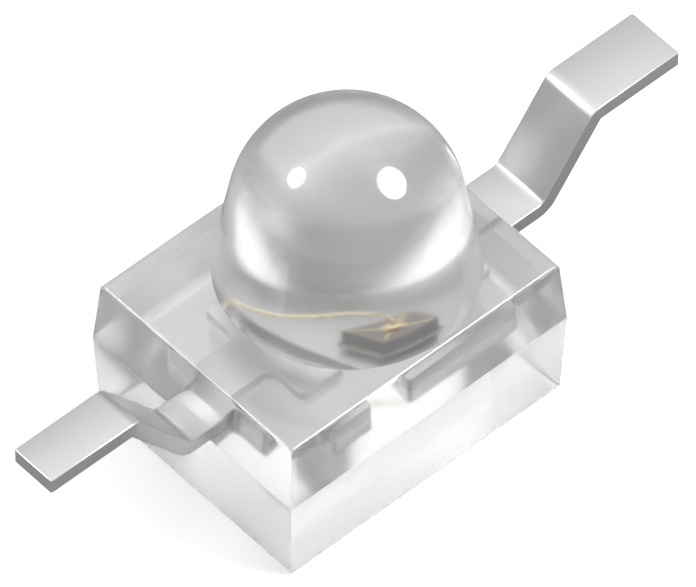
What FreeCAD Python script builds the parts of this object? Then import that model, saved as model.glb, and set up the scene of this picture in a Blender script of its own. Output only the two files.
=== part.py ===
# Surface-mount led: a clear epoxy block with a domed lens, moulded round two Z-shaped leads.
# Millimetres. The flat base lies on z = 0, the dome's axis is the Z axis and the leads run along X,
# the wide one, which carries the chip, towards +X.
import FreeCAD, Part
import math
import os
import Sketcher

SIZES = {
    # Block of the moulding, measured at its parting plane
    "bodyLength": 2.5,
    "bodyWidth": 2.01,
    "bodyShift": 0.155,
    "lowerHeight": 0.75,
    "upperHeight": 0.56,
    "lowerInset": 0.03,
    "upperInset": 0.042,
    "rimRadius": 0.03,
    # Dome: a sphere's cap on a cone that is tangent to it
    "domeRadius": 0.815,
    "domeCentreHeight": 0.56,
    "domeDraft": 9.75,
    # Leads, stamped from one sheet and bent upwards
    "sheetThickness": 0.12,
    "chipLeadWidth": 0.475,
    "wireLeadWidth": 0.375,
    "bendDistance": 1.57,
    "bendAngle": 52.5,
    "heelRadius": 0.075,
    "toeRadius": 0.015,
    "footTop": 1.48,
    "footReach": 2.815,
    # Chip pad of the wide lead and crossbar of the narrow one
    "padLength": 0.99,
    "padWidth": 1.05,
    "padCentre": 0.335,
    "barLength": 0.36,
    "barWidth": 1.01,
    "plateGap": 0.325,
    "plateCornerRadius": 0.05,
    "neckCornerRadius": 0.08,
    # Chip and the paste that holds it
    "chipSide": 0.26,
    "chipHeight": 0.12,
    "chipForward": 0.135,
    "chipAside": 0.09,
    "pasteThickness": 0.015,
    "pasteMargin": 0.025,
    "pasteCornerRadius": 0.05,
    # Electrode on the chip: a round pad with an arm towards each corner
    "electrodeDiameter": 0.1,
    "electrodeThickness": 0.004,
    "armWidth": 0.018,
    "armMargin": 0.03,
    # Bond wire, with a ball on the electrode and a flat stitch on the crossbar
    "wireDiameter": 0.025,
    "ballDiameter": 0.075,
    "ballHeight": 0.03,
    "ballRounding": 0.012,
    "loopHeight": 0.25,
    "loopRadius": 0.16,
    "sagDistance": 0.44,
    "sagHeight": 0.11,
    "sagRadius": 0.5,
    "kneeDistance": 0.74,
    "kneeHeight": 0.13,
    "kneeRadius": 0.08,
    "stitchInset": 0.13,
    "stitchAside": 0.4,
    "stitchLength": 0.07,
    "stitchWidth": 0.045,
    "stitchThickness": 0.012,
}

doc = FreeCAD.newDocument("surface_mount_led")
sheet = doc.addObject("Spreadsheet::Sheet", "size")
for row, (alias, value) in enumerate(SIZES.items(), start=1):
    sheet.set(f"A{row}", alias)
    sheet.set(f"B{row}", str(value))
    sheet.setAlias(f"B{row}", alias)
doc.recompute()

# Places that several pieces share, as formulas in the sheet's names
BLOCK_TOP = "(size.lowerHeight + size.upperHeight)"
PLATE_TOP = "(size.lowerHeight + size.sheetThickness)"
PAD_LEFT = "(size.padCentre - size.padLength / 2)"
PAD_RIGHT = "(size.padCentre + size.padLength / 2)"
BAR_RIGHT = f"({PAD_LEFT} - size.plateGap)"
BAR_LEFT = f"({BAR_RIGHT} - size.barLength)"
CHIP_BOTTOM = f"({PLATE_TOP} + size.pasteThickness)"
CHIP_TOP = f"({CHIP_BOTTOM} + size.chipHeight)"
BALL_BOTTOM = f"({CHIP_TOP} + size.electrodeThickness)"
WIRE_RUN_X = f"(size.chipForward - {BAR_RIGHT} + size.stitchInset)"
WIRE_RUN_Y = "(size.chipAside + size.stitchAside)"
WIRE_RUN = f"sqrt({WIRE_RUN_X} ^ 2 + {WIRE_RUN_Y} ^ 2)"


def newBody(name):
    body = doc.addObject("PartDesign::Body", name)
    body.Label = name
    return body


def newSketch(body, name, plane, height=None):
    # Sketch on one of the body's own planes, or at a height above it
    sketch = body.newObject("Sketcher::SketchObject", name)
    support = [feature for feature in body.Origin.OriginFeatures if feature.Role == plane][0]
    sketch.AttachmentSupport = [(support, "")]
    sketch.MapMode = "FlatFace"
    if height:
        sketch.setExpression("AttachmentOffset.Base.z", height)
    return sketch


def holdPoint(sketch, geometry, end, place, formulas):
    # Fixes a point by its two distances from the sketch's origin
    for kind, start, formula in zip(("DistanceX", "DistanceY"), place, formulas):
        number = sketch.addConstraint(Sketcher.Constraint(kind, -1, 1, geometry, end, start))
        sketch.setExpression(f"Constraints[{number}]", formula)


def drawPolygon(sketch, corners):
    # Closed outline of straight lines, started as a regular polygon and moved to its formulas
    count = len(corners)
    turn = 2 * math.pi / count
    start = [FreeCAD.Vector(math.cos(turn * i), math.sin(turn * i), 0) for i in range(count)]
    for i in range(count):
        sketch.addGeometry(Part.LineSegment(start[i], start[(i + 1) % count]), False)
    for i in range(count):
        sketch.addConstraint(Sketcher.Constraint("Coincident", i, 2, (i + 1) % count, 1))
    for i, formulas in enumerate(corners):
        holdPoint(sketch, i, 1, start[i], formulas)


def drawRectangle(sketch, left, right, bottom, top):
    drawPolygon(sketch, [(left, bottom), (right, bottom), (right, top), (left, top)])


def addPad(body, name, sketch, length, taper=None, reverse=False, middle=False):
    pad = body.newObject("PartDesign::Pad", name)
    pad.Profile = sketch
    pad.setExpression("Length", length)
    if taper:
        pad.setExpression("TaperAngle", taper)
    pad.Reversed = reverse
    pad.Midplane = middle
    doc.recompute()
    return pad


def addFillet(body, name, radius, chosen):
    # Rounds those edges of the body for which chosen(edge) is true
    base = body.Tip
    edges = [f"Edge{i}" for i, edge in enumerate(base.Shape.Edges, start=1) if chosen(edge)]
    fillet = body.newObject("PartDesign::Fillet", name)
    fillet.Base = (base, edges)
    fillet.setExpression("Radius", radius)
    doc.recompute()
    return fillet


def near(first, second):
    return abs(first - second) < 1e-4


def liesAt(edge, height):
    return all(near(vertex.Z, height) for vertex in edge.Vertexes)


def crossesAt(edge, place):
    # True for an edge along Y that starts at the X and Z of a point in the side view
    corner = edge.Vertexes[0]
    return runsAlong(edge, 1) and near(corner.X, place.x) and near(corner.Z, place.y)


def standsAt(edge, x, y):
    # True for an upright edge at the given X, on either side of the centre line
    corner = edge.Vertexes[0]
    return runsAlong(edge, 2) and near(corner.X, x) and near(abs(corner.Y), y)


def runsAlong(edge, axis):
    # True for a straight edge parallel to axis 0, 1 or 2
    if not isinstance(edge.Curve, Part.Line):
        return False
    return abs(edge.Curve.Direction[axis]) > 0.9999


def makeMoulding():
    # Block with drafted halves above and below the parting plane, rounded rims, and the dome on top
    body = newBody("moulding")
    left = "-size.bodyLength / 2 - size.bodyShift"
    right = "size.bodyLength / 2 - size.bodyShift"
    halves = (
        ("upper", "size.upperHeight", "-atan(size.upperInset / size.upperHeight)", False),
        ("lower", "size.lowerHeight", "-atan(size.lowerInset / size.lowerHeight)", True),
    )
    for name, height, taper, down in halves:
        sketch = newSketch(body, f"{name}_outline", "XY_Plane", "size.lowerHeight")
        drawRectangle(sketch, left, right, "-size.bodyWidth / 2", "size.bodyWidth / 2")
        addPad(body, f"{name}_half", sketch, height, taper, reverse=down)
    top = sheet.lowerHeight + sheet.upperHeight
    addFillet(body, "rims", "size.rimRadius", lambda edge: liesAt(edge, 0) or liesAt(edge, top))
    addDome(body)
    return body


def addDome(body):
    # Half section: flat foot on the block, straight drafted side, then the arc up to the axis
    sketch = newSketch(body, "dome_section", "XZ_Plane")
    draft = math.radians(sheet.domeDraft)
    foot = sheet.lowerHeight + sheet.upperHeight
    centre = FreeCAD.Vector(0, foot + sheet.domeCentreHeight, 0)
    footRadius = sheet.domeRadius / math.cos(draft) + sheet.domeCentreHeight * math.tan(draft)
    arc = Part.ArcOfCircle(Part.Circle(centre, FreeCAD.Vector(0, 0, 1), sheet.domeRadius), draft, math.pi / 2)
    axisFoot = FreeCAD.Vector(0, foot, 0)
    rim = FreeCAD.Vector(footRadius, foot, 0)
    sketch.addGeometry(Part.LineSegment(axisFoot, rim), False)
    sketch.addGeometry(Part.LineSegment(rim, arc.StartPoint), False)
    sketch.addGeometry(arc, False)
    sketch.addGeometry(Part.LineSegment(arc.EndPoint, axisFoot), False)
    for i in range(4):
        sketch.addConstraint(Sketcher.Constraint("Coincident", i, 2, (i + 1) % 4, 1))
    holdPoint(sketch, 0, 1, axisFoot, ("0", BLOCK_TOP))
    rimRadius = "size.domeRadius / cos(size.domeDraft) + size.domeCentreHeight * tan(size.domeDraft)"
    holdPoint(sketch, 1, 1, rim, (rimRadius, BLOCK_TOP))
    centreHeight = f"{BLOCK_TOP} + size.domeCentreHeight"
    holdPoint(sketch, 2, 3, centre, ("0", centreHeight))
    tangentPoint = ("size.domeRadius * cos(size.domeDraft)",
                    f"{centreHeight} + size.domeRadius * sin(size.domeDraft)")
    holdPoint(sketch, 2, 1, arc.StartPoint, tangentPoint)
    sketch.addConstraint(Sketcher.Constraint("Vertical", 3))
    dome = body.newObject("PartDesign::Revolution", "dome")
    dome.Profile = sketch
    dome.ReferenceAxis = (sketch, ["V_Axis"])
    dome.Angle = 360
    doc.recompute()
    return dome


def makeLead(name, side, plate, plateWidth, leadWidth, roundedEnd):
    # Plate inside the block, and a strap bent up to the foot. side is "" for +X or "-" for -X, plate
    # holds the formulas of the plate's inner and outer ends, measured along the lead's side, and the
    # widths are names in the sheet.
    body = newBody(name)
    inner, outer = plate
    outline = newSketch(body, "plate_outline", "XY_Plane", "size.lowerHeight")
    half = f"size.{plateWidth} / 2"
    drawRectangle(outline, f"{side}{inner}", f"{side}{outer}", f"-{half}", half)
    addPad(body, "plate", outline, "size.sheetThickness")

    # Side view of the strap with sharp bends: underside outwards, then the top face back
    mitre = "size.sheetThickness * tan(size.bendAngle / 2)"
    toe = f"(size.bendDistance + (size.footTop - {PLATE_TOP}) / tan(size.bendAngle))"
    footUnder = "(size.footTop - size.sheetThickness)"
    corners = [
        (outer, "size.lowerHeight"),
        (f"(size.bendDistance + {mitre})", "size.lowerHeight"),
        (f"({toe} + {mitre})", footUnder),
        ("size.footReach", footUnder),
        ("size.footReach", "size.footTop"),
        (toe, "size.footTop"),
        ("size.bendDistance", PLATE_TOP),
        (outer, PLATE_TOP),
    ]
    strap = newSketch(body, "strap_section", "XZ_Plane")
    drawPolygon(strap, [(f"{side}{x}", z) for x, z in corners])
    addPad(body, "strap", strap, f"size.{leadWidth}", middle=True)

    # Inside of each bend has its own radius, and the outside is one sheet thickness larger
    places = [line.StartPoint for line in strap.Geometry]
    bends = (
        ("heel_top", places[6], "size.heelRadius"),
        ("heel_under", places[1], "size.heelRadius + size.sheetThickness"),
        ("toe_under", places[2], "size.toeRadius"),
        ("toe_top", places[5], "size.toeRadius + size.sheetThickness"),
    )
    for label, place, radius in bends:
        addFillet(body, label, radius, lambda edge: crossesAt(edge, place))

    innerEnd, outerEnd = [outline.Geometry[i].StartPoint.x for i in (0, 1)]
    neckSide = sheet.getPropertyByName(leadWidth) / 2
    plateSide = sheet.getPropertyByName(plateWidth) / 2
    addFillet(body, "neck_corners", "size.neckCornerRadius", lambda edge: standsAt(edge, outerEnd, neckSide))
    end = innerEnd if roundedEnd == "inner" else outerEnd
    addFillet(body, "plate_corners", "size.plateCornerRadius", lambda edge: standsAt(edge, end, plateSide))
    return body


def makeTile(name, side, bottom, height, cornerRadius=None):
    # Square tile centred under the chip's place on the pad
    body = newBody(name)
    sketch = newSketch(body, "outline", "XY_Plane", bottom)
    drawRectangle(sketch, f"size.chipForward - {side} / 2", f"size.chipForward + {side} / 2",
                  f"-size.chipAside - {side} / 2", f"-size.chipAside + {side} / 2")
    addPad(body, "tile", sketch, height)
    if cornerRadius:
        addFillet(body, "corners", cornerRadius, lambda edge: runsAlong(edge, 2))
    return body


def placeOnChip(body, height, turn):
    # Sets the body's own origin on the chip's centre line and turns it about that line
    body.Placement.Rotation = FreeCAD.Rotation(FreeCAD.Vector(0, 0, 1), turn)
    body.setExpression("Placement.Base.x", "size.chipForward")
    body.setExpression("Placement.Base.y", "-size.chipAside")
    body.setExpression("Placement.Base.z", height)


def makeElectrode():
    # Round pad with four arms, drawn along the body's axes and turned by an eighth
    body = newBody("top_electrode")
    placeOnChip(body, CHIP_TOP, 45)
    disc = newSketch(body, "pad_outline", "XY_Plane")
    drawCircle(disc, "size.electrodeDiameter")
    addPad(body, "pad", disc, "size.electrodeThickness")
    reach = "(size.chipSide * sqrt(2) / 2 - size.armMargin)"
    half = "size.armWidth / 2"
    for name, x, y in (("first", reach, half), ("second", half, reach)):
        outline = newSketch(body, f"{name}_arms_outline", "XY_Plane")
        drawRectangle(outline, f"-{x}", x, f"-{y}", y)
        addPad(body, f"{name}_arms", outline, "size.electrodeThickness")
    return body


def makeBondWire():
    # Ball on the electrode, wire looped over to the crossbar, and its flattened end.
    # The body's X axis points from the ball to the stitch.
    body = newBody("bond_wire")
    placeOnChip(body, BALL_BOTTOM, 0)
    body.setExpression("Placement.Rotation.Angle", f"180 deg - atan({WIRE_RUN_Y} / {WIRE_RUN_X})")
    ball = body.newObject("PartDesign::AdditiveCylinder", "ball")
    ball.setExpression("Radius", "size.ballDiameter / 2")
    ball.setExpression("Height", "size.ballHeight")
    doc.recompute()
    addFillet(body, "ball_edges", "size.ballRounding", lambda edge: isinstance(edge.Curve, Part.Circle))

    path = newSketch(body, "route", "XZ_Plane")
    drawRoute(path)
    section = newSketch(body, "section", "XY_Plane", "size.ballHeight / 2")
    drawCircle(section, "size.wireDiameter")
    wire = body.newObject("PartDesign::AdditivePipe", "wire")
    wire.Profile = section
    wire.Spine = path
    doc.recompute()

    stitch = body.newObject("PartDesign::AdditiveBox", "stitch")
    stitch.setExpression("Length", "size.stitchLength")
    stitch.setExpression("Width", "size.stitchWidth")
    stitch.setExpression("Height", "size.stitchThickness")
    stitch.setExpression("Placement.Base.x", f"{WIRE_RUN} - size.stitchLength / 2")
    stitch.setExpression("Placement.Base.y", "-size.stitchWidth / 2")
    stitch.setExpression("Placement.Base.z", f"{PLATE_TOP} - {BALL_BOTTOM}")
    doc.recompute()
    return body


def drawCircle(sketch, diameter):
    sketch.addGeometry(Part.Circle(FreeCAD.Vector(0, 0, 0), FreeCAD.Vector(0, 0, 1), 1), False)
    sketch.addConstraint(Sketcher.Constraint("Coincident", 0, 3, -1, 1))
    number = sketch.addConstraint(Sketcher.Constraint("Diameter", 0, 2))
    sketch.setExpression(f"Constraints[{number}]", diameter)


def drawRoute(sketch):
    # Straight runs up from the ball, down to the sag, along to the knee and down to the stitch,
    # joined by tangent arcs
    run = math.hypot(sheet.chipForward, sheet.stitchAside)
    start = [(0, 0), (0, sheet.loopHeight), (sheet.sagDistance, sheet.sagHeight),
             (sheet.kneeDistance, sheet.kneeHeight), (2 * run, 0)]
    start = [FreeCAD.Vector(x, z, 0) for x, z in start]
    for i in range(4):
        sketch.addGeometry(Part.LineSegment(start[i], start[i + 1]), False)
    for i in range(3):
        sketch.addConstraint(Sketcher.Constraint("Coincident", i, 2, i + 1, 1))
    radii = ("size.loopRadius", "size.sagRadius", "size.kneeRadius")
    for i, radius in enumerate(radii):
        before = start[i + 1] + (start[i] - start[i + 1]) * 0.1
        after = start[i + 1] + (start[i + 2] - start[i + 1]) * 0.1
        arc = sketch.GeometryCount
        sketch.fillet(i, i + 1, before, after, sheet.loopRadius, True, True)
        number = sketch.addConstraint(Sketcher.Constraint("Radius", arc, sheet.loopRadius))
        sketch.setExpression(f"Constraints[{number}]", radius)
    holdPoint(sketch, 0, 1, start[0], ("0", "size.ballHeight / 2"))
    holdPoint(sketch, 5, 1, start[1], ("0", "size.loopHeight"))
    holdPoint(sketch, 7, 1, start[2], ("size.sagDistance", "size.sagHeight"))
    holdPoint(sketch, 9, 1, start[3], ("size.kneeDistance", "size.kneeHeight"))
    holdPoint(sketch, 3, 2, start[4], (WIRE_RUN, f"{PLATE_TOP} + size.wireDiameter / 2 - {BALL_BOTTOM}"))


def makeLens(moulding, inside):
    # The moulding fills all the room round the pieces that are sealed in it
    filling = doc.addObject("Part::Compound", "sealed_in")
    filling.Links = inside
    lens = doc.addObject("Part::Cut", "lens_body")
    lens.Label = "lens_body"
    lens.Base = moulding
    lens.Tool = filling
    doc.recompute()
    return lens


dieLead = makeLead("die_lead", "", (PAD_LEFT, PAD_RIGHT), "padWidth", "chipLeadWidth", "inner")
wireLead = makeLead("wire_lead", "-", (f"-{BAR_RIGHT}", f"-{BAR_LEFT}"), "barWidth", "wireLeadWidth", "outer")
paste = makeTile("die_paste", "(size.chipSide + 2 * size.pasteMargin)", PLATE_TOP, "size.pasteThickness",
                 "size.pasteCornerRadius")
chip = makeTile("led_chip", "size.chipSide", CHIP_BOTTOM, "size.chipHeight")
electrode = makeElectrode()
bondWire = makeBondWire()
sealed = [dieLead, wireLead, paste, chip, electrode, bondWire]
lens = makeLens(makeMoulding(), sealed)
doc.recompute()

for item in doc.Objects:
    if "Invalid" in item.State or "Error" in item.State:
        raise RuntimeError(f"{item.Label} failed: {item.State}")
os.makedirs("parts", exist_ok=True)
for item in [lens] + sealed:
    shape = item.Shape
    if shape.isNull() or not shape.isValid() or len(shape.Solids) != 1:
        raise RuntimeError(f"{item.Label} is not one valid solid")
    shape.exportStep(f"parts/{item.Label}.step")
    print(item.Label, round(shape.Volume, 6), shape.BoundBox)
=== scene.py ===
import math

import bmesh
import bpy
import numpy as np
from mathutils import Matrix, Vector


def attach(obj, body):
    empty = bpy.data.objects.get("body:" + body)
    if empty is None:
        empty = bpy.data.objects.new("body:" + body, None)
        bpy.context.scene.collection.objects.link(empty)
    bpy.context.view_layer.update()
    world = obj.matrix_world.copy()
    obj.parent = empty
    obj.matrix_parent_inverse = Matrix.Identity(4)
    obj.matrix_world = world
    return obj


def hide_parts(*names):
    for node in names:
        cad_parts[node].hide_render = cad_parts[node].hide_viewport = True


# Clear surface-mount led on a white table. Sizes below are in millimetres, the meshes in metres.
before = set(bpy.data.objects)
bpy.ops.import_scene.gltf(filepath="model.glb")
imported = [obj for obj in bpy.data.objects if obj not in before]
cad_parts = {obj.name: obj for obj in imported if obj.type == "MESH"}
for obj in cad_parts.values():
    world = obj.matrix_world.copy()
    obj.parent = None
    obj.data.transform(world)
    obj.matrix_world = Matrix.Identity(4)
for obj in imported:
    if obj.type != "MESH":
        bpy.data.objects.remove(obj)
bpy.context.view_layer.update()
mm = 0.001
print("frame loaded")

# ---- mesh helpers

def newPiece(name, points, faces, material, slotName, replaced=(), creaseDegrees=30):
    # Merges poles and seams, turns the faces outwards and rides the piece on the part
    mesh = bpy.data.meshes.new(name)
    mesh.from_pydata((np.asarray(points) * mm).tolist(), [], faces)
    work = bmesh.new()
    work.from_mesh(mesh)
    bmesh.ops.remove_doubles(work, verts=work.verts, dist=1e-8)
    bmesh.ops.recalc_face_normals(work, faces=work.faces)
    work.to_mesh(mesh)
    work.free()
    mesh.polygons.foreach_set("use_smooth", np.ones(len(mesh.polygons), bool))
    mesh.set_sharp_from_angle(angle=math.radians(creaseDegrees))
    mesh.materials.append(material)
    piece = bpy.data.objects.new(name, mesh)
    bpy.context.scene.collection.objects.link(piece)
    weighted = piece.modifiers.new("flat faces stay flat", "WEIGHTED_NORMAL")
    weighted.keep_sharp = True
    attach(piece, "root")
    if replaced:
        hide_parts(*replaced)
    return piece


def bandFaces(rows, columns):
    # Quads of a closed band: column k joins column k + 1, and the last joins the first
    corner = np.arange(rows * columns).reshape(rows, columns)
    beside = np.roll(corner, -1, axis=1)
    return np.stack([corner[:-1], beside[:-1], beside[1:], corner[1:]], axis=-1).reshape(-1, 4).tolist()


def filletProfile(corner, draft, radius, steps):
    # Points of an arc of the given radius, tangent to a wall that leans inwards by draft and to a flat:
    # centre + radius * (-cos a, sin a) for a from draft to a quarter turn
    reach = radius * math.tan((math.pi / 2 - draft) / 2)
    turn = np.linspace(draft, math.pi / 2, steps)
    inset = corner[0] + reach - radius * np.cos(turn)
    height = corner[1] - radius + radius * np.sin(turn)
    return np.stack([inset, height], axis=1)


# ---- clear epoxy moulding, in two halves that meet at the parting plane

lens = {
    "length": 2.5, "width": 2.01, "shift": -0.155,
    "parting": 0.75, "upper": 0.56, "lower": 0.75,
    "upperInset": 0.042, "lowerInset": 0.03, "rim": 0.03, "rimSteps": 7,
    "domeRadius": 0.815, "domeCentre": 0.56, "domeDraft": math.radians(9.75),
    "film": 0.0005, "sideSteps": 60, "coneRows": 8, "capRows": 48,
}


def blockRings(profile):
    # Rectangular rings: each side has the same number of points, and a ring lies inset from the outline
    # at the parting plane by profile[:, 0], at the height profile[:, 1]
    share = np.linspace(-1, 1, lens["sideSteps"], endpoint=False)
    one = np.ones_like(share)
    across = np.concatenate([share, one, -share, -one])
    along = np.concatenate([-one, share, one, -share])
    inset = profile[:, :1]
    x = lens["shift"] + across * (lens["length"] / 2 - inset)
    y = along * (lens["width"] / 2 - inset)
    return np.stack([x, y, np.broadcast_to(profile[:, 1:], x.shape)], axis=-1)


def upperHalf():
    # Wall, rounded rim, then the dome's radius over height: a cone that runs into a sphere
    foot = lens["parting"] + lens["upper"]
    draft = math.atan(lens["upperInset"] / lens["upper"])
    wall = np.array([[0, lens["parting"] + lens["film"]]])
    rim = filletProfile((lens["upperInset"], foot), draft, lens["rim"], lens["rimSteps"])
    block = blockRings(np.concatenate([wall, rim]))

    tilt, sphere = lens["domeDraft"], lens["domeRadius"]
    meet = lens["domeCentre"] + sphere * math.sin(tilt)
    coneHeight = np.linspace(0, meet, lens["coneRows"], endpoint=False)
    coneRadius = sphere * math.cos(tilt) + (meet - coneHeight) * math.tan(tilt)
    turn = np.linspace(tilt, math.pi / 2, lens["capRows"])
    radius = np.concatenate([coneRadius, sphere * np.cos(turn)])
    height = np.concatenate([coneHeight, lens["domeCentre"] + sphere * np.sin(turn)])
    corner = block[-1]
    angle = np.arctan2(corner[:, 1] / lens["width"], (corner[:, 0] - lens["shift"]) / lens["length"])
    dome = np.stack([radius[:, None] * np.cos(angle), radius[:, None] * np.sin(angle),
                     np.broadcast_to(foot + height[:, None], (len(radius), len(angle)))], axis=-1)
    rings = np.concatenate([block, dome])
    faces = bandFaces(len(rings), rings.shape[1])
    faces.append(list(range(rings.shape[1])))
    return rings.reshape(-1, 3), faces


def lowerHalf():
    # Mirror image of the upper wall and rim, closed by two flats
    draft = math.atan(lens["lowerInset"] / lens["lower"])
    rim = filletProfile((lens["lowerInset"], lens["lower"]), draft, lens["rim"], lens["rimSteps"])
    profile = np.concatenate([[[0, lens["film"]]], rim])
    profile[:, 1] = lens["parting"] - profile[:, 1]
    rings = blockRings(profile)
    columns = rings.shape[1]
    faces = bandFaces(len(rings), columns)
    faces.append(list(range(columns)))
    faces.append(list(range((len(rings) - 1) * columns, len(rings) * columns)))
    return rings.reshape(-1, 3), faces


# ---- materials

def newMaterial(name):
    material = bpy.data.materials.new(name)
    material.use_nodes = True
    tree = material.node_tree
    return material, tree, tree.nodes["Principled BSDF"]


def objectNoise(tree, scale, detail=2):
    # Noise on the piece's own coordinates; scale is in cycles per millimetre
    place = tree.nodes.new("ShaderNodeTexCoord")
    mapping = tree.nodes.new("ShaderNodeMapping")
    mapping.inputs["Scale"].default_value = [scale / mm] * 3
    noise = tree.nodes.new("ShaderNodeTexNoise")
    noise.inputs["Scale"].default_value = 1
    noise.inputs["Detail"].default_value = detail
    tree.links.new(place.outputs["Object"], mapping.inputs["Vector"])
    tree.links.new(mapping.outputs["Vector"], noise.inputs["Vector"])
    return noise.outputs["Fac"]


def ramp(tree, source, low, high):
    # Carries 0.3 to 0.7 of a noise to the range low to high
    node = tree.nodes.new("ShaderNodeMapRange")
    node.inputs["From Min"].default_value = 0.3
    node.inputs["From Max"].default_value = 0.7
    node.inputs["To Min"].default_value = low
    node.inputs["To Max"].default_value = high
    tree.links.new(source, node.inputs["Value"])
    return node.outputs["Result"]


def addBump(tree, shader, source, heightMm):
    bump = tree.nodes.new("ShaderNodeBump")
    bump.inputs["Distance"].default_value = heightMm * mm
    tree.links.new(source, bump.inputs["Height"])
    tree.links.new(bump.outputs["Normal"], shader.inputs["Normal"])


def mixColours(tree, source, first, second):
    node = tree.nodes.new("ShaderNodeMix")
    node.data_type = "RGBA"
    node.inputs[6].default_value = (*first, 1)
    node.inputs[7].default_value = (*second, 1)
    tree.links.new(source, node.inputs["Factor"])
    return node.outputs[2]


def makeEpoxy():
    # Slightly cloudy inside, under a skin as smooth as the polished mould
    epoxy = {"ior": 1.5, "haze": 0.15, "rippleScale": 2.5, "ripple": 0.0001}
    material, tree, shader = newMaterial("clear epoxy")
    shader.inputs["Base Color"].default_value = (1, 1, 1, 1)
    shader.inputs["Roughness"].default_value = epoxy["haze"]
    shader.inputs["Coat Weight"].default_value = 1
    shader.inputs["Coat Roughness"].default_value = 0
    shader.inputs["IOR"].default_value = epoxy["ior"]
    shader.inputs["Transmission Weight"].default_value = 1
    addBump(tree, shader, objectNoise(tree, epoxy["rippleScale"]), epoxy["ripple"])
    return material


def makePlating():
    plating = {"light": (0.65, 0.65, 0.645), "dark": (0.62, 0.62, 0.615), "cloud": 4, "grain": 30,
               "roughness": (0.31, 0.35)}
    material, tree, shader = newMaterial("satin silver plating")
    shader.inputs["Metallic"].default_value = 1
    cloud = objectNoise(tree, plating["cloud"])
    tree.links.new(mixColours(tree, cloud, plating["dark"], plating["light"]), shader.inputs["Base Color"])
    grain = objectNoise(tree, plating["grain"])
    tree.links.new(ramp(tree, grain, *plating["roughness"]), shader.inputs["Roughness"])
    return material


def makeGold(name, light, dark):
    gold = {"cloud": 40, "roughness": (0.22, 0.34)}
    material, tree, shader = newMaterial(name)
    shader.inputs["Metallic"].default_value = 1
    cloud = objectNoise(tree, gold["cloud"])
    tree.links.new(mixColours(tree, cloud, dark, light), shader.inputs["Base Color"])
    tree.links.new(ramp(tree, cloud, *gold["roughness"]), shader.inputs["Roughness"])
    return material


def makeChipSurface():
    sawn = {"light": (0.36, 0.34, 0.33), "dark": (0.28, 0.265, 0.255), "cloud": 60, "detail": 4,
            "roughness": (0.3, 0.5), "relief": 0.0008}
    material, tree, shader = newMaterial("chip")
    cloud = objectNoise(tree, sawn["cloud"], sawn["detail"])
    tree.links.new(mixColours(tree, cloud, sawn["dark"], sawn["light"]), shader.inputs["Base Color"])
    tree.links.new(ramp(tree, cloud, *sawn["roughness"]), shader.inputs["Roughness"])
    addBump(tree, shader, cloud, sawn["relief"])
    return material


def makePaste():
    flakes = {"light": (0.48, 0.475, 0.46), "dark": (0.4, 0.395, 0.38), "cloud": 90, "detail": 4,
              "metal": 0.6, "roughness": 0.55, "relief": 0.001}
    material, tree, shader = newMaterial("silver paste")
    cloud = objectNoise(tree, flakes["cloud"], flakes["detail"])
    tree.links.new(mixColours(tree, cloud, flakes["dark"], flakes["light"]), shader.inputs["Base Color"])
    shader.inputs["Metallic"].default_value = flakes["metal"]
    shader.inputs["Roughness"].default_value = flakes["roughness"]
    addBump(tree, shader, cloud, flakes["relief"])
    return material


epoxyMaterial = makeEpoxy()
platingMaterial = makePlating()
goldMaterial = makeGold("gold", light=(0.93, 0.84, 0.6), dark=(0.87, 0.77, 0.52))
goldFilmMaterial = makeGold("gold film", light=(0.7, 0.6, 0.42), dark=(0.6, 0.51, 0.36))
chipMaterial = makeChipSurface()
pasteMaterial = makePaste()
print("materials made")

newPiece("lens_dome_half", *upperHalf(), epoxyMaterial, "clear_epoxy", ["lens_body"])
newPiece("lens_base_half", *lowerHalf(), epoxyMaterial, "clear_epoxy", ["lens_body"])
print("epoxy moulding made")


# ---- flat pieces with rounded edges

def leftNormal(step):
    return np.array([-step[1], step[0]]) / np.hypot(*step)


def roundedOutline(corners, radii, steps=8):
    # Walk along straight runs whose right-angled corners are swapped for arcs:
    # corner - s * radius * (n1 + n2) + s * radius * (n1 cos a + n2 sin a), with s = -1 in a hollow corner
    corners = np.array(corners, float)
    runs = np.diff(corners, axis=0)
    normals = [leftNormal(run) for run in runs]
    points, outward = [corners[:1]], [normals[0][None]]
    turn = np.linspace(0, math.pi / 2, steps)[:, None]
    for i, radius in enumerate(radii):
        before, after = normals[i], normals[i + 1]
        side = -np.sign(np.cross(runs[i], runs[i + 1]))
        arrow = before * np.cos(turn) + after * np.sin(turn)
        points.append(corners[i + 1] + side * radius * (arrow - before - after))
        outward.append(arrow)
    points.append(corners[-1:])
    outward.append(normals[-1][None])
    return np.concatenate(points), np.concatenate(outward)


def roundedEdge(thickness, radius, steps=4):
    # Side of a punched sheet, from its top flat over the rounded edge to the sharp one below: inset
    # radius * (1 - cos a) and height thickness / 2 - radius * (1 - sin a) for a from a quarter turn to 0
    turn = np.linspace(math.pi / 2, 0, steps)
    inset = radius * (1 - np.cos(turn))
    height = thickness / 2 - radius * (1 - np.sin(turn))
    return np.stack([np.append(inset, 0), np.append(height, -thickness / 2)], axis=1)


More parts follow.
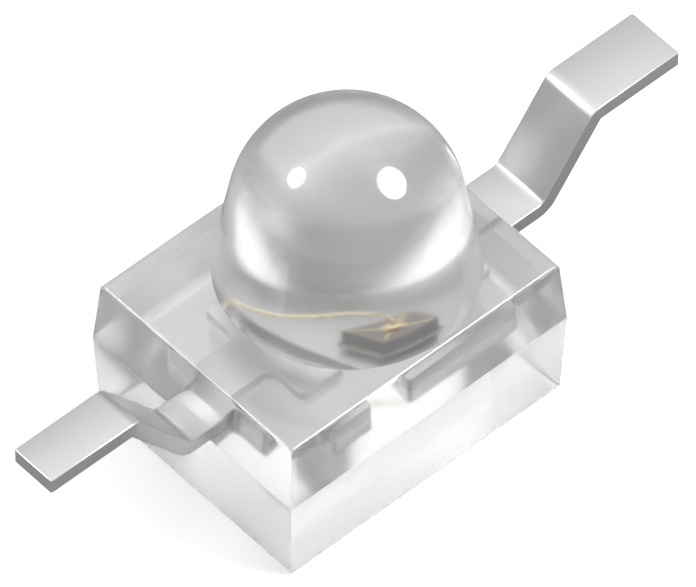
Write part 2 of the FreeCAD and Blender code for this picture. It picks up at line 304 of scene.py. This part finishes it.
def slab(outline, outward, profile, cuts=()):
    # Outline of one side, carried through the profile: point = outline - inset * outward, at the
    # profile's height, then mirrored in y. The flats are cut across at the outline's points in cuts.
    side = outline[None] - profile[:, None, :1] * outward[None]
    other = side[:, -2:0:-1] * [1, -1]
    plan = np.concatenate([side, other], axis=1)
    height = np.broadcast_to(profile[:, None, 1:], (*plan.shape[:2], 1))
    points = np.concatenate([plan, height], axis=2)
    columns = points.shape[1]
    faces = bandFaces(len(profile), columns)
    stops = [0, *cuts, len(outline) - 1]
    for start, stop in zip(stops, stops[1:]):
        there = np.arange(start, stop + 1)
        back = (columns - there[::-1]) % columns
        loop = list(dict.fromkeys([*there.tolist(), *back.tolist()]))
        faces.append(loop)
        faces.append([(len(profile) - 1) * columns + i for i in loop])
    return points.reshape(-1, 3), faces


# ---- leads

lead = {
    "thickness": 0.12, "edge": 0.01, "under": 0.75,
    "bendStart": 1.57, "angle": math.radians(52.5), "heel": 0.075, "toe": 0.015,
    "footTop": 1.48, "reach": 2.815, "tipRadius": 0.015, "bendSteps": 13, "fineSteps": 40000,
}


def bendPath(innerEnd):
    # Lengths of the straight runs and arcs of the sheet's middle surface, from the inner end outwards
    half = lead["thickness"] / 2
    heelTop, toeTop = lead["heel"], lead["toe"] + lead["thickness"]
    heelTangent = heelTop * math.tan(lead["angle"] / 2)
    toeTangent = toeTop * math.tan(lead["angle"] / 2)
    rise = lead["footTop"] - lead["under"] - lead["thickness"]
    slope = rise / math.sin(lead["angle"]) - heelTangent - toeTangent
    toeStart = lead["bendStart"] + rise / math.tan(lead["angle"]) + toeTangent
    runs = [lead["bendStart"] - heelTangent - innerEnd, (heelTop + half) * lead["angle"], slope,
            (lead["toe"] + half) * lead["angle"], lead["reach"] - toeStart]
    return np.cumsum([0] + runs)


def bendSheet(points, stations, innerEnd):
    # Middle surface by adding up (cos f, sin f) ds, where the slope f grows along the heel's arc and
    # falls along the toe's; each point then stands off it by its height along (-sin f, cos f)
    fine = np.linspace(0, stations[-1], lead["fineSteps"] + 1)
    slope = np.interp(fine, stations, [0, 0, lead["angle"], lead["angle"], 0, 0])
    step = np.diff(fine, prepend=0)
    x = np.cumsum(np.cos(slope) * step) + innerEnd
    z = np.cumsum(np.sin(slope) * step) + lead["under"] + lead["thickness"] / 2
    s, y, h = points.T
    tilt = np.interp(s, fine, slope)
    across = np.interp(s, fine, x) - h * np.sin(tilt)
    up = np.interp(s, fine, z) + h * np.cos(tilt)
    return np.stack([across, y, up], axis=1)


def makeLead(name, side, innerEnd, plate, width, material):
    # T-shaped blank: plate, hollow neck corners and strap. Stations along the strap follow its bends.
    stations = bendPath(innerEnd)
    length, half = plate["length"], width / 2
    neck = plate["neckRadius"]
    head, headNormals = roundedOutline(
        [(0, 0), (0, plate["width"] / 2), (length, plate["width"] / 2), (length, half),
         (length + neck * 2, half)],
        [plate["innerRadius"], plate["outerRadius"], neck])
    tail, tailNormals = roundedOutline([(stations[4], half), (stations[5], half), (stations[5], 0)],
                                       [lead["tipRadius"]], 4)
    arcs = [np.linspace(stations[i], stations[i + 1], lead["bendSteps"]) for i in (1, 3)]
    strap = np.concatenate([arcs[0], arcs[1][:-1]])
    middle = np.stack([strap, np.full_like(strap, half)], axis=1)
    outline = np.concatenate([head[:-1], middle, tail])
    outward = np.concatenate([headNormals[:-1], np.broadcast_to([0.0, 1.0], middle.shape), tailNormals])
    first = len(head) - 2
    cuts = range(first, first + len(middle) + 2)
    points, faces = slab(outline, outward, roundedEdge(lead["thickness"], lead["edge"]), cuts)
    points = bendSheet(points, stations, innerEnd) * [side, 1, 1]
    return newPiece(name + "_metal", points, faces, material, "plated_lead", [name])


diePlate = {"length": 0.99, "width": 1.05, "innerRadius": 0.05, "outerRadius": 0.012, "neckRadius": 0.08}
wirePlate = {"length": 0.36, "width": 1.01, "innerRadius": 0.012, "outerRadius": 0.05, "neckRadius": 0.08}
makeLead("die_lead", 1, -0.16, diePlate, 0.475, platingMaterial)
makeLead("wire_lead", -1, 0.485, wirePlate, 0.375, platingMaterial)
print("leads made")


# ---- chip, paste and gold electrode

chip = {"side": 0.26, "height": 0.12, "place": (0.135, -0.09), "under": 0.885, "corner": 0.006, "edge": 0.004}
paste = {"margin": 0.025, "corner": 0.05, "under": 0.87, "lip": 0.001, "climb": 0.03, "tuck": 0.004, "steps": 7}


def squareOutline(side, corner):
    half = side / 2
    outline, outward = roundedOutline([(0, 0), (0, half), (side, half), (side, 0)], [corner, corner])
    return outline - [half, 0], outward


def makeTile(name, replaced, outline, profile, middle, material, slotName):
    points, faces = slab(*outline, profile)
    return newPiece(name, points + [*chip["place"], middle], faces, material, slotName, [replaced])


makeTile("chip_block", "led_chip", squareOutline(chip["side"], chip["corner"]),
         roundedEdge(chip["height"], chip["edge"]), chip["under"] + chip["height"] / 2, chipMaterial, "chip")

# Paste: height = lip + climb * w ** 2, where w grows from 0 at its outer edge to 1 just inside the chip's wall
way = np.linspace(1, 0, paste["steps"])
meniscus = np.stack([way * (paste["margin"] + paste["tuck"]), paste["lip"] + paste["climb"] * way ** 2], axis=1)
meniscus = np.concatenate([meniscus, [[0, 0]]])
makeTile("paste_fillet", "die_paste", squareOutline(chip["side"] + 2 * paste["margin"], paste["corner"]),
         meniscus, paste["under"], pasteMaterial, "silver_paste")
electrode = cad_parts["top_electrode"]
electrode.data.materials.clear()
electrode.data.materials.append(goldFilmMaterial)
print("chip made")


# ---- bond wire

wire = {
    "start": (0.135, -0.09, 1.009), "end": (-0.615, 0.4), "radius": 0.0125,
    "ball": 0.0375, "ballHeight": 0.03, "stitchWidth": 0.0225, "stitchHeight": 0.006, "stitchLength": 0.07,
    "landing": 0.87, "sides": 16, "steps": 200, "finer": 100,
    "corners": [(0, 0), (0, 0.25), (0.44, 0.11), (0.74, 0.13)], "bends": [0.16, 0.5, 0.08, 0.02],
}


def bentLine(corners, radii, count):
    # Straight runs joined by arcs: an arc is radius * turn long and takes radius * tan(turn / 2) off the
    # runs beside it. The line adds up (cos f, sin f) ds along its heading f.
    corners = np.array(corners)
    runs = np.diff(corners, axis=0)
    heading = np.arctan2(runs[:, 1], runs[:, 0])
    turn = np.abs(np.diff(heading))
    cut = np.array(radii) * np.tan(turn / 2)
    lengths = np.zeros(2 * len(runs) - 1)
    lengths[::2] = np.hypot(*runs.T) - np.append(cut, 0) - np.insert(cut, 0, 0)
    lengths[1::2] = radii * turn
    stations = np.insert(np.cumsum(lengths), 0, 0)
    fine = np.linspace(0, stations[-1], wire["finer"] * count + 1)
    f = np.interp((fine[1:] + fine[:-1]) / 2, stations, np.repeat(heading, 2))
    steps = np.stack([np.cos(f), np.sin(f)], axis=1) * fine[1]
    return np.concatenate([corners[:1], corners[0] + np.cumsum(steps, axis=0)])[::wire["finer"]]


def makeBondWire():
    # Ellipses carried along the route, in the upright plane from the ball to the stitch:
    # point = route + half width * cos a * side + half height * sin a * up. The ball swells the wire by
    # ball * sqrt(1 - (2 t - 1) ** 4) over its height, and the stitch flattens it with 3 f ** 2 - 2 f ** 3.
    start, end = np.array(wire["start"]), np.array(wire["end"])
    heading = end - start[:2]
    run = np.hypot(*heading)
    heading = heading / run
    drop = wire["landing"] + wire["stitchHeight"] - start[2]
    overhang = wire["stitchLength"] / 2
    corners = wire["corners"] + [(run - overhang, drop), (run + overhang, drop)]
    route = bentLine(corners, wire["bends"], wire["steps"])
    tangent = np.gradient(route, axis=0)
    tangent /= np.hypot(*tangent.T)[:, None]
    gone = np.concatenate([[0], np.cumsum(np.hypot(*np.diff(route, axis=0).T))])
    left = gone[-1] - gone
    inBall = np.clip(gone / wire["ballHeight"], 0, 1)
    bulge = wire["ball"] * np.sqrt(np.clip(1 - (2 * inBall - 1) ** 4, 0, 1))
    flat = np.clip(1 - left / wire["stitchLength"], 0, 1)
    flat = flat * flat * (3 - 2 * flat)
    width = np.maximum(bulge, wire["radius"] + (wire["stitchWidth"] - wire["radius"]) * flat)
    height = np.maximum(bulge, wire["radius"] + (wire["stitchHeight"] - wire["radius"]) * flat)
    width[[0, -1]] = height[[0, -1]] = 0
    turn = np.linspace(0, 2 * math.pi, wire["sides"], endpoint=False)
    across, up = np.cos(turn), np.sin(turn)
    u = route[:, :1] - tangent[:, 1:] * height[:, None] * up
    z = route[:, 1:] + tangent[:, :1] * height[:, None] * up
    v = width[:, None] * across
    x = start[0] + u * heading[0] - v * heading[1]
    y = start[1] + u * heading[1] + v * heading[0]
    points = np.stack([x, y, start[2] + z], axis=-1)
    faces = bandFaces(*points.shape[:2])
    return newPiece("gold_wire", points.reshape(-1, 3), faces, goldMaterial, "gold", ["bond_wire"], 60)


makeBondWire()
print("bond wire made")


# ---- camera at the photograph's angle

camera = {"turn": 41.87, "height": 50.98, "distance": 130, "pixelsPerMm": 148.49, "frame": (696, 587),
          "axisPixel": (347.06, 263.18), "axisHeight": 1.31, "sensor": 36, "near": 1, "far": 2000}


def makeCamera():
    # A long lens that puts the dome's axis, where it meets the block, on its pixel
    turn, height = math.radians(camera["turn"]), math.radians(camera["height"])
    right = Vector((math.cos(turn), -math.sin(turn), 0))
    back = Vector((-math.sin(turn) * math.cos(height), -math.cos(turn) * math.cos(height), math.sin(height)))
    up = back.cross(right)
    scale = camera["pixelsPerMm"]
    aim = right * ((camera["frame"][0] / 2 - camera["axisPixel"][0]) / scale)
    aim += up * ((camera["axisPixel"][1] - camera["frame"][1] / 2) / scale)
    aim += Vector((0, 0, camera["axisHeight"]))
    data = bpy.data.cameras.new("camera")
    data.sensor_width = camera["sensor"]
    data.lens = scale * camera["distance"] * data.sensor_width / camera["frame"][0]
    data.clip_start = camera["near"] * mm
    data.clip_end = camera["far"] * mm
    holder = bpy.data.objects.new("camera", data)
    bpy.context.scene.collection.objects.link(holder)
    holder.location = (aim + back * camera["distance"]) * mm
    holder.rotation_mode = "QUATERNION"
    holder.rotation_quaternion = (-back).to_track_quat("-Z", "Y")
    bpy.context.scene.camera = holder


makeCamera()


# ---- studio: grey sky, two round lamps and a pale table, on a white background

# Each stop of the sky is a height, from 0 straight down to 1 straight up, and its grey. The tilt is the
# rise in brightness along x and y seen through the epoxy. From the first distance of whiteReach to the
# second, the table seen through the epoxy goes from painted white to painted grey, and floorInMetal is its
# painted darker colour in the metal's mirror. Each lamp has a name, a direction, a radius and a power.
studio = {
    "sky": [(0.0, 0.5), (0.5, 0.45), (0.65, 0.5), (0.87, 0.95), (0.94, 1.25)], "fill": 1.0,
    "tilt": (0.15, 0.45), "bounces": 32, "glossyBounces": 24,
    "floorColour": 0.85, "floorInMetal": 0.25, "floorSize": 60, "floorDrop": 0.002, "floorGlow": 0.2,
    "whiteReach": (2.2, 3.4), "floorFade": 0.2,
    "lampDistance": 40,
    "lamps": [("lamp_right", (0.4262, -0.4878, 0.7621), 9.8, 0.0105),
              ("lamp_left", (-0.4957, 0.4896, 0.7185), 5.9, 0.004)],
}


def mathNode(tree, operation, first, second):
    node = tree.nodes.new("ShaderNodeMath")
    node.operation = operation
    for socket, value in zip(node.inputs, (first, second)):
        if isinstance(value, (int, float)):
            socket.default_value = value
        else:
            tree.links.new(value, socket)
    return node.outputs[0]


def makeWorld():
    # Diffuse light is plain: level = fill. Mirrored and refracted rays see the sky's greys instead, and
    # the camera sees white past the object.
    world = bpy.data.worlds.new("studio")
    bpy.context.scene.world = world
    world.use_nodes = True
    tree = world.node_tree
    background = tree.nodes["Background"]
    place = tree.nodes.new("ShaderNodeTexCoord")
    split = tree.nodes.new("ShaderNodeSeparateXYZ")
    height = tree.nodes.new("ShaderNodeMapRange")
    height.inputs["From Min"].default_value = -1
    colours = tree.nodes.new("ShaderNodeValToRGB")
    tree.links.new(place.outputs["Generated"], split.inputs[0])
    tree.links.new(split.outputs["Z"], height.inputs["Value"])
    tree.links.new(height.outputs["Result"], colours.inputs["Fac"])
    stops = studio["sky"]
    marks = colours.color_ramp.elements
    while len(marks) < len(stops):
        marks.new(0.5)
    for mark, (position, grey) in zip(marks, stops):
        mark.position = position
    for mark, (position, grey) in zip(marks, stops):
        mark.color = (grey, grey, grey, 1)
    rays = tree.nodes.new("ShaderNodeLightPath").outputs
    mirrored = mathNode(tree, "MAXIMUM", rays["Is Glossy Ray"], rays["Is Transmission Ray"])
    change = mathNode(tree, "SUBTRACT", colours.outputs["Color"], studio["fill"])
    level = mathNode(tree, "ADD", mathNode(tree, "MULTIPLY", change, mirrored), studio["fill"])
    # Seen through the epoxy the sky is brighter on the far side: level + tilt x * x + tilt y * y
    rise = mathNode(tree, "ADD", mathNode(tree, "MULTIPLY", split.outputs["X"], studio["tilt"][0]),
                    mathNode(tree, "MULTIPLY", split.outputs["Y"], studio["tilt"][1]))
    level = mathNode(tree, "ADD", level, mathNode(tree, "MULTIPLY", rise, rays["Is Transmission Ray"]))
    tree.links.new(mathNode(tree, "MAXIMUM", level, rays["Is Camera Ray"]), background.inputs["Color"])


def makeLamp(name, direction, radius, power):
    # Shines on the outside and mirrors in the dome, but rays through the epoxy don't meet it
    direction = Vector(direction).normalized()
    data = bpy.data.lights.new(name, "AREA")
    data.shape = "DISK"
    data.size = 2 * radius * mm
    data.energy = power
    lamp = bpy.data.objects.new(name, data)
    bpy.context.scene.collection.objects.link(lamp)
    lamp.location = direction * studio["lampDistance"] * mm
    lamp.rotation_mode = "QUATERNION"
    lamp.rotation_quaternion = direction.to_track_quat("Z", "Y")
    lamp.visible_transmission = False


def makeFloor():
    # Pale table that keeps the shadow and looks white directly, by a glow. Through the epoxy it is painted
    # white near the part, by the glow,
    # and painted greyer farther out, so that the block shows against it from low views; in the metal's mirror
    # it is painted darker:
    # colour = floorColour - inMetal * (floorColour - floorInMetal) - inEpoxy * far * floorFade
    material, tree, shader = newMaterial("pale table")
    shader.inputs["Roughness"].default_value = 1
    shader.inputs["Specular IOR Level"].default_value = 0
    rays = tree.nodes.new("ShaderNodeLightPath").outputs
    place = tree.nodes.new("ShaderNodeTexCoord")
    away = tree.nodes.new("ShaderNodeVectorMath")
    away.operation = "LENGTH"
    tree.links.new(place.outputs["Object"], away.inputs[0])
    far = tree.nodes.new("ShaderNodeMapRange")
    far.inputs["From Min"].default_value = studio["whiteReach"][0] * mm
    far.inputs["From Max"].default_value = studio["whiteReach"][1] * mm
    tree.links.new(away.outputs["Value"], far.inputs["Value"])
    inEpoxy = rays["Is Transmission Ray"]
    inMetal = mathNode(tree, "SUBTRACT", rays["Is Glossy Ray"], inEpoxy)
    farInEpoxy = mathNode(tree, "MULTIPLY", inEpoxy, far.outputs["Result"])
    # painted shade: in the metal's mirror the table is painted darker, floorInMetal instead of floorColour
    metalPaintedShade = mathNode(tree, "MULTIPLY", inMetal, studio["floorColour"] - studio["floorInMetal"])
    # painted shade: through the epoxy the table is painted greyer beyond whiteReach
    epoxyPaintedShade = mathNode(tree, "MULTIPLY", farInEpoxy, studio["floorFade"])
    paintedShade = mathNode(tree, "ADD", metalPaintedShade, epoxyPaintedShade)
    tree.links.new(mathNode(tree, "SUBTRACT", studio["floorColour"], paintedShade), shader.inputs["Base Color"])
    shader.inputs["Emission Color"].default_value = (1, 1, 1, 1)
    # painted light: a glow lifts the table for the camera everywhere, and through the epoxy only near the part
    seen = mathNode(tree, "MAXIMUM", rays["Is Camera Ray"], mathNode(tree, "SUBTRACT", inEpoxy, farInEpoxy))
    tree.links.new(mathNode(tree, "MULTIPLY", seen, studio["floorGlow"]), shader.inputs["Emission Strength"])
    half = studio["floorSize"]
    corners = np.array([[-half, -half], [half, -half], [half, half], [-half, half]], float) * mm
    points = np.column_stack([corners, np.full(4, -studio["floorDrop"] * mm)])
    mesh = bpy.data.meshes.new("table_top")
    mesh.from_pydata(points.tolist(), [], [[0, 1, 2, 3]])
    mesh.materials.append(material)
    floor = bpy.data.objects.new("table_top", mesh)
    bpy.context.scene.collection.objects.link(floor)


makeWorld()
for lamp in studio["lamps"]:
    makeLamp(*lamp)
makeFloor()
bpy.context.scene.view_settings.view_transform = "Standard"
# Light that turns back and forth inside the clear block needs long paths
paths = bpy.context.scene.cycles
paths.max_bounces = studio["bounces"]
paths.transmission_bounces = studio["bounces"]
paths.glossy_bounces = studio["glossyBounces"]
print("studio made")
